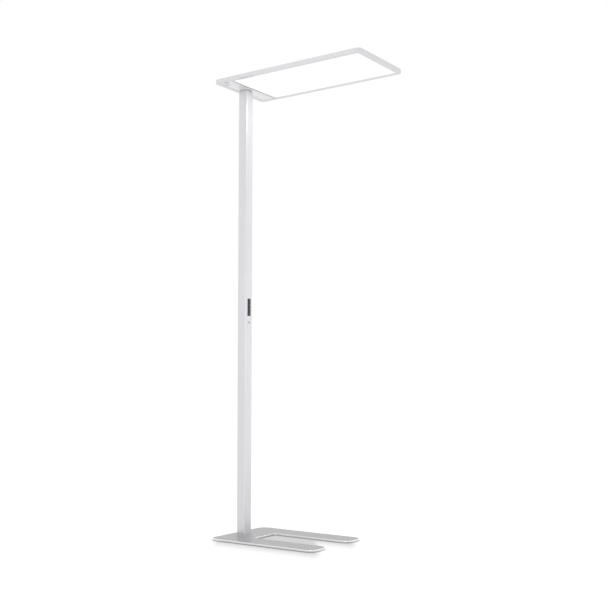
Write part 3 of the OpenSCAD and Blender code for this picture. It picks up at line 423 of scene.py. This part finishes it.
def edge_at(level, axis=Z):
    """Test for an edge that lies at one height, or at one place along another axis."""
    return lambda edge: all(abs(v.co[axis] - level) < EDGE_GAP for v in edge.verts)


def faces_at(bm, level, axis=Z):
    """The flat faces that lie at one height, or at one place along another axis."""
    return [f for f in bm.faces if all(abs(v.co[axis] - level) < FACE_GAP for v in f.verts)]


def round_edges(bm, wanted, radius, segments):
    """Rounds the edges that are wanted and that turn by more than the sharp angle."""
    edges = [e for e in bm.edges if len(e.link_faces) == 2
             and e.calc_face_angle(0) > SHARP_ANGLE and wanted(e)]
    bmesh.ops.bevel(bm, geom=edges, offset=radius, offset_type="OFFSET", segments=segments, profile=0.5,
                    affect="EDGES", clamp_overlap=True, material=-1)
    bm.normal_update()


def soften(node, radius, side, axis=Z, segments=3):
    """Replaces a CAD node by a copy with the edges of its low or high side along an axis rounded."""
    bm = merged_copy(node)
    round_edges(bm, edge_at(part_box(node)[side][axis], axis), radius, segments)
    replace_node(node, bm)


# ---------- screws ----------

SCREW_EDGE = 0.12 * MM
SMALL_SOCKET = {"radius": 1.25 * MM, "depth": 0.9 * MM}
BASE_SOCKET = {"radius": 2.5 * MM, "depth": 2.2 * MM}


def cut_socket(bm, face, radius, depth):
    """Sinks a hexagon socket into the flat face of a screw's head."""
    middle, outwards, rim = face.calc_center_median(), face.normal.copy(), list(face.edges)
    bmesh.ops.delete(bm, geom=[face], context="FACES_ONLY")
    place = Matrix.Translation(middle) @ outwards.to_track_quat("Z", "Y").to_matrix().to_4x4()
    corners = bmesh.ops.create_circle(bm, segments=6, radius=radius, matrix=place)["verts"]
    mouth = list({edge for corner in corners for edge in corner.link_edges})
    bmesh.ops.triangle_fill(bm, use_beauty=True, edges=rim + mouth, normal=outwards)
    sunk = bmesh.ops.extrude_edge_only(bm, edges=mouth)["geom"]
    bottom = {item for item in sunk if isinstance(item, bmesh.types.BMVert)}
    bmesh.ops.translate(bm, verts=list(bottom), vec=-depth * outwards)
    loop = [item for item in sunk if isinstance(item, bmesh.types.BMEdge) and set(item.verts) <= bottom]
    bmesh.ops.contextual_create(bm, geom=loop)


def finish_screws(node, socket, side, axis=Z):
    """Countersunk screws with a broken edge round the head and a hexagon socket in it."""
    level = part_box(node)[side][axis]
    bm = merged_copy(node)
    round_edges(bm, edge_at(level, axis), SCREW_EDGE, segments=2)
    for face in faces_at(bm, level, axis):
        cut_socket(bm, face, **socket)
    bmesh.ops.recalc_face_normals(bm, faces=bm.faces)
    replace_node(node, bm)


def make_screws():
    """The screws whose heads show: on the mast's rear face, under the base, and under and on the head."""
    finish_screws("driver_screws", SMALL_SOCKET, LOW, axis=X)
    finish_screws("base_screws", BASE_SOCKET, LOW)
    finish_screws("end_cover_screws", SMALL_SOCKET, LOW)
    finish_screws("top_cover_screws", SMALL_SOCKET, HIGH)


# ---------- base ----------

# A face counts as a side, painted lighter as painted light, where the height of its normal is under
# SIDE_SLOPE.
# Closer than HOLE_REACH to the middle of a glide or a screw, edges aren't rounded and faces aren't marked.
BASE_EDGE = 2.2 * MM
SIDE_SLOPE = 0.93
HOLE_REACH = 12 * MM
GLIDE_EDGE = 0.35 * MM
GLIDE_RIM = 2.4 * MM
GLIDE_DISH = 0.5 * MM


def separate_solids(bm):
    """Yields the vertices of each separate solid."""
    left = set(bm.verts)
    while left:
        found, front = set(), [left.pop()]
        while front:
            vert = front.pop()
            found.add(vert)
            joined = left & {edge.other_vert(vert) for edge in vert.link_edges}
            left -= joined
            front.extend(joined)
        yield found


def hole_centres():
    """Where the glides and the screws sit in the base plate."""
    centres = []
    for node in ("glides", "base_screws"):
        bm = merged_copy(node)
        for verts in separate_solids(bm):
            xs = [v.co.x for v in verts]
            ys = [v.co.y for v in verts]
            centres.append(Vector((min(xs) + max(xs), min(ys) + max(ys))) / 2)
        bm.free()
    return centres


def make_base():
    """Base plate with its outline rounded above and below, and its sides marked to be painted lighter than
    its top.
    """
    low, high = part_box("base_plate")
    holes = hole_centres()

    def clear_of_holes(spot):
        return all((spot.xy - hole).length > HOLE_REACH for hole in holes)

    def on_outline(edge):
        level = edge_at(low.z)(edge) or edge_at(high.z)(edge)
        return level and clear_of_holes((edge.verts[0].co + edge.verts[1].co) / 2)

    bm = merged_copy("base_plate")
    round_edges(bm, on_outline, BASE_EDGE, segments=5)
    # Marks the sides, which the finish paints lighter than the top as painted light.
    marks = bm.faces.layers.float.new(LIT_SIDE_MARK)
    for face in bm.faces:
        side = abs(face.normal.z) < SIDE_SLOPE and clear_of_holes(face.calc_center_median())
        face[marks] = 1.0 if side else 0.0
    replace_node("base_plate", bm)


def make_glides():
    """Round feet with a turned lower edge and a shallow dish in the middle."""
    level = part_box("glides")[LOW].z
    bm = merged_copy("glides")
    round_edges(bm, edge_at(level), GLIDE_EDGE, segments=3)
    bmesh.ops.inset_individual(bm, faces=faces_at(bm, level), thickness=GLIDE_RIM, depth=-GLIDE_DISH)
    replace_node("glides", bm)


# ---------- mast ----------

MAST_EDGE = 0.4 * MM
INLET_EDGE = 0.4 * MM
WINDOW_EDGE = 0.25 * MM


def make_mast():
    """Mast, with the inlet low on its rear face and the status window on its front face."""
    soften("mast", MAST_EDGE, HIGH, segments=2)
    soften("mains_inlet", INLET_EDGE, LOW, axis=X)
    soften("status_window", WINDOW_EDGE, HIGH, axis=X)


# ---------- head ----------

HEAD_EDGE = 0.9 * MM
END_COVER_EDGE = 0.4 * MM
TOP_COVER_EDGE = 0.3 * MM
SENSOR_EDGE = 0.8 * MM
CROSS_BAR_EDGE = 0.3 * MM
DAYLIGHT_EDGE = 0.2 * MM

# The swell of the sensor's lens, from its rim to its middle, in steps inwards and outwards in millimetres.
LENS_STEPS = ((0.5, 0.45), (1.1, 0.5), (1.7, 0.4), (2.1, 0.22), (1.6, 0.06))


def make_head_frame():
    """Frame of the head, rounded along its outline above and below."""
    low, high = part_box("head_frame")
    bm = merged_copy("head_frame")
    round_edges(bm, lambda edge: edge_at(low.z)(edge) or edge_at(high.z)(edge), HEAD_EDGE, segments=3)
    replace_node("head_frame", bm)


def make_lens():
    """Sensor lens whose face swells out of its ring."""
    bm = merged_copy("sensor_lens")
    face = faces_at(bm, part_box("sensor_lens")[LOW].z)
    for inwards, outwards in LENS_STEPS:
        bmesh.ops.inset_individual(bm, faces=face, thickness=inwards * MM, depth=outwards * MM)
    replace_node("sensor_lens", bm)


def make_head():
    make_head_frame()
    soften("end_cover", END_COVER_EDGE, LOW, segments=2)
    soften("top_cover", TOP_COVER_EDGE, HIGH, segments=2)
    soften("sensor_housing", SENSOR_EDGE, LOW)
    soften("cross_bar", CROSS_BAR_EDGE, LOW, segments=2)
    soften("daylight_window", DAYLIGHT_EDGE, LOW)
    make_lens()


# ---------- control panel ----------

BEZEL_EDGE = 0.35 * MM
KEY_EDGE = 0.3 * MM

# The marks stand proud of their key, and reach a little into it.
MARK_PROUD = 0.05 * MM
MARK_ROOT = 0.15 * MM
RING_RADIUS = 2.1 * MM
RING_STROKE = 0.5 * MM
RING_STEPS = 40
DOT_RADIUS = 0.5 * MM
DOT_STROKE = 0.6 * MM
POWER_SWEEP = radians(290)
POWER_BAR = 2.4 * MM
POWER_RISE = 1.7 * MM
SIGN_WIDTH = 6.4 * MM
SIGN_STROKE = 1.3 * MM


def mark_ring(bm, spot, radius, stroke, sweep=2 * pi):
    """Raised ring on a key, open at its top if its sweep is less than a full turn."""
    x, y, z = spot
    corners = ((x - MARK_ROOT, radius - stroke / 2), (x + MARK_PROUD, radius - stroke / 2),
               (x + MARK_PROUD, radius + stroke / 2), (x - MARK_ROOT, radius + stroke / 2))
    start = (2 * pi - sweep) / 2
    verts = [bm.verts.new((depth, y + away * sin(start), z + away * cos(start))) for depth, away in corners]
    whole = sweep == 2 * pi
    edges = [bm.edges.new((verts[i - 1], verts[i])) for i in range(4)]
    end_face = [] if whole else [bm.faces.new(verts)]
    bmesh.ops.spin(bm, geom=verts + edges + end_face, cent=(x, y, z), axis=(-1, 0, 0), angle=sweep,
                   steps=RING_STEPS, use_merge=whole)


def mark_bar(bm, spot, width, height, rise=0.0):
    """Raised straight stroke on a key, at the spot or higher by rise."""
    x, y, z = spot
    middle = Vector((x + (MARK_PROUD - MARK_ROOT) / 2, y, z + rise))
    size = Matrix.Diagonal((MARK_PROUD + MARK_ROOT, width, height, 1))
    bmesh.ops.create_cube(bm, size=1, matrix=Matrix.Translation(middle) @ size)


def mark_power(bm, spot):
    mark_ring(bm, spot, RING_RADIUS, RING_STROKE, POWER_SWEEP)
    mark_bar(bm, spot, RING_STROKE, POWER_BAR, rise=POWER_RISE)


def mark_dimmer(bm, spot):
    mark_bar(bm, spot, SIGN_WIDTH, SIGN_STROKE)


def mark_brighter(bm, spot):
    """Plus sign: the minus sign with an upright arm below it and one above."""
    mark_dimmer(bm, spot)
    arm = (SIGN_WIDTH - SIGN_STROKE) / 2
    rise = (SIGN_STROKE + arm) / 2
    mark_bar(bm, spot, SIGN_STROKE, arm, rise=-rise)
    mark_bar(bm, spot, SIGN_STROKE, arm, rise=rise)


def mark_auto(bm, spot):
    """Ring with a dot, which is a smaller ring with a pinhole in it."""
    mark_ring(bm, spot, RING_RADIUS, RING_STROKE)
    mark_ring(bm, spot, DOT_RADIUS, DOT_STROKE)


def make_panel():
    """Bezel of the control strip, and its four keys, each with its mark."""
    soften("control_bezel", BEZEL_EDGE, HIGH, axis=X)
    marks = {"power": mark_power, "brighter": mark_brighter, "dimmer": mark_dimmer, "auto": mark_auto}
    for name, draw in marks.items():
        key = "key_" + name
        soften(key, KEY_EDGE, HIGH, axis=X)
        low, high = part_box(key)
        bm = bmesh.new()
        draw(bm, Vector((high.x, (low.y + high.y) / 2, (low.z + high.z) / 2)))
        bmesh.ops.recalc_face_normals(bm, faces=bm.faces)
        add_piece("mark_" + name, bm, body_of[key], "key_black", finish="mark_grey")


# ---------- studio ----------

# The world's light on the object, from the horizon's level and from straight above.
SKY_COLOUR = (0.8, 0.8, 0.8, 1)
SKY_LOW = 0.85
SKY_HIGH = 0.52

# The floor sheds light onto the object as a plain pale surface does. FLOOR_LIFT brings it up to white where
# it is seen.
FLOOR_SIZE = 40.0
FLOOR_LEVEL = -0.2 * MM
FLOOR_COLOUR = (0.92, 0.92, 0.92)
FLOOR_ROUGH = 0.9
FLOOR_LIFT = 0.56

# The slot and the round corners of the base plate, which its box doesn't tell.
SLOT_REAR = -217 * MM
SLOT_HALF = 73.5 * MM
BASE_CORNER = 38 * MM

# The base's soft shadow, painted into the floor in front of its near edges: how dark it is, how far it
# reaches, how far it drifts along the edge on its way, and over what lengths it begins, ends at the tips
# and ends behind.
SHADE_DEPTH = 0.40
SHADE_REACH = 0.22
SHADE_SLANT = 0.69
SHADE_START = 0.06
SHADE_TIP = 0.06
SHADE_FAR = 0.02

# The painted contact shadow close round the base plate: how light it stays, and how far it spreads.
GAP_LIGHT = 0.58
CONTACT_REACH = 11 * MM

# The light just under the diffuser: its power, how far below it lies, how much smaller it is across and at
# the front, and how far it stays away from the diffuser's rear edge and the mast.
PANEL_GLOW_POWER = 2.1
PANEL_GLOW_GAP = 4 * MM
PANEL_GLOW_INSET = 30 * MM
PANEL_GLOW_REAR = 160 * MM


def make_world():
    """White to the camera and in reflections. The light it sheds is weaker from above than from beside."""
    world = bpy.data.worlds.new("studio")
    scene.world = world
    world.use_nodes = True
    world.node_tree.nodes.clear()
    sky = NodeTree(world.node_tree)
    direction = sky.node("ShaderNodeTexCoord").outputs["Generated"]
    height = sky.node("ShaderNodeSeparateXYZ", {"Vector": direction}).outputs["Z"]
    strength = sky.span(height, SKY_LOW, SKY_HIGH, start=0.0, end=1.0)
    light = sky.node("ShaderNodeBackground", {"Color": SKY_COLOUR, "Strength": strength}).outputs[0]
    white = sky.node("ShaderNodeBackground", {"Color": (1, 1, 1, 1)}).outputs[0]
    seen = sky.node("ShaderNodeMixShader", {0: sky.seen_directly(), 1: light, 2: white}).outputs[0]
    sky.node("ShaderNodeOutputWorld", {"Surface": seen})


def shade_ahead(finish, place, rear, front, near):
    """1 behind a straight near edge, and fading out on the floor in front of it, towards the camera."""
    ahead = finish.maths("SUBTRACT", near, place["Y"])
    past = finish.maths("MAXIMUM", ahead, 0.0)
    fade = finish.span(past, 1, 0, start=0.0, end=SHADE_REACH)
    across = finish.maths("MULTIPLY_ADD", past, -SHADE_SLANT, place["X"])
    start = finish.span(across, 0, 1, start=rear, end=rear + SHADE_START, shape="SMOOTHSTEP")
    across = finish.maths("MULTIPLY_ADD", ahead, -SHADE_SLANT, place["X"])
    stop = finish.span(across, 0, 1, start=front + SHADE_TIP, end=front, shape="SMOOTHSTEP")
    return finish.product(fade, fade, start, stop)


def shade_round_base(finish, place):
    """Painted shadow: 1 on the open floor, and lower under the base and in the soft shade in front of both
    its prongs.
    """
    low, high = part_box("base_plate")
    near_prong = shade_ahead(finish, place, low.x, high.x, low.y)
    far_prong = shade_ahead(finish, place, SLOT_REAR, high.x, SLOT_HALF)
    edge = high.y
    behind = finish.span(place["Y"], 0, 1, start=edge + SHADE_FAR, end=edge - SHADE_FAR, shape="SMOOTHSTEP")
    inside = finish.product(finish.maths("MAXIMUM", near_prong, far_prong), behind)
    return finish.maths("MULTIPLY_ADD", inside, -SHADE_DEPTH, 1.0)


def outside_box(finish, place, low, high, corner):
    """Distance on the floor from a box with round corners, below 0 inside it."""
    square = 0.0
    for name, axis in (("X", X), ("Y", Y)):
        middle = (low[axis] + high[axis]) / 2
        half = (high[axis] - low[axis]) / 2 - corner
        away = finish.maths("ABSOLUTE", finish.maths("SUBTRACT", place[name], middle))
        past = finish.maths("MAXIMUM", finish.maths("SUBTRACT", away, half), 0.0)
        square = finish.maths("MULTIPLY_ADD", past, past, square)
    return finish.maths("SUBTRACT", finish.maths("SQRT", square), corner)


def painted_contact_shadow(finish, place):
    """Painted contact shadow: low under the plate and its prongs, and 1 further off on the open floor and
    in the slot.
    """
    low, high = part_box("base_plate")
    near_prong = low, Vector((high.x, -SLOT_HALF, high.z))
    far_prong = Vector((low.x, SLOT_HALF, low.z)), high
    back = low, Vector((SLOT_REAR, high.y, high.z))
    gaps = [outside_box(finish, place, *box, BASE_CORNER) for box in (near_prong, far_prong, back)]
    nearest = finish.maths("MINIMUM", finish.maths("MINIMUM", gaps[0], gaps[1]), gaps[2])
    return finish.span(nearest, GAP_LIGHT, 1.0, start=0.0, end=CONTACT_REACH, shape="SMOOTHSTEP")


def floor_finish():
    """Pale matt floor that looks white, with the base's shadows painted into its colour and its lift."""
    finish = Finish("floor", FLOOR_COLOUR, FLOOR_ROUGH, **{"Specular IOR Level": 0.0})
    place = finish.node("ShaderNodeSeparateXYZ", {"Vector": finish.point}).outputs
    # The base's painted shadows darken both the floor's colour and its lift.
    shade = finish.product(shade_round_base(finish, place), painted_contact_shadow(finish, place))
    finish.feed(finish.shader, {
        "Base Color": finish.mix(shade, (0, 0, 0, 1), (*FLOOR_COLOUR, 1)),
        "Emission Color": (1, 1, 1, 1),
        "Emission Strength": finish.product(finish.seen_directly(), shade, FLOOR_LIFT),
    })
    return finish.material


def make_floor():
    bm = bmesh.new()
    bmesh.ops.create_grid(bm, x_segments=1, y_segments=1, size=FLOOR_SIZE / 2)
    bmesh.ops.translate(bm, verts=bm.verts, vec=(0, 0, FLOOR_LEVEL))
    mesh = bpy.data.meshes.new("floor")
    bm.to_mesh(mesh)
    bm.free()
    mesh.materials.append(floor_finish())
    floor = bpy.data.objects.new("floor", mesh)
    scene.collection.objects.link(floor)


def area_light(name, place, target, size, power):
    """Rectangular soft light that the camera doesn't see, sized in metres, with its power in watts."""
    data = bpy.data.lights.new(name, "AREA")
    data.shape = "RECTANGLE"
    data.size, data.size_y = size
    data.energy = power
    lamp = bpy.data.objects.new(name, data)
    lamp.location = place
    lamp.rotation_euler = (Vector(target) - Vector(place)).to_track_quat("-Z", "Y").to_euler()
    lamp.visible_camera = False
    scene.collection.objects.link(lamp)


def make_panel_glow():
    """Light just under the diffuser, for what its glow sheds on the mast, the base and the floor."""
    low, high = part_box("diffuser")
    rear, front = low.x + PANEL_GLOW_REAR, high.x - PANEL_GLOW_INSET
    middle = (rear + front) / 2
    level = low.z - PANEL_GLOW_GAP
    size = (front - rear, high.y - low.y - PANEL_GLOW_INSET)
    area_light("panel_glow", (middle, 0, level), target=(middle, 0, 0), size=size, power=PANEL_GLOW_POWER)


def make_lights():
    """Soft light on both sides of the mast that the camera sees, and a small one for glints on the base."""
    area_light("front_light", (-1.6, -4.6, 1.7), target=(-0.2, 0, 1.25), size=(2.6, 1.8), power=13.5)
    area_light("side_light", (2.9, 3.2, 1.0), target=(-0.3, 0, 1.0), size=(2.2, 2.4), power=8)
    area_light("spark_light", (2.9, -4.3, 0.5), target=(0, 0, 0.1), size=(0.5, 0.6), power=26)
    make_panel_glow()


# ---------- the whole scene ----------

scene.view_settings.view_transform = "Standard"
make_camera()
make_world()
make_floor()
make_lights()
dress_nodes()
make_base()
make_glides()
make_mast()
make_screws()
make_head()
make_panel()
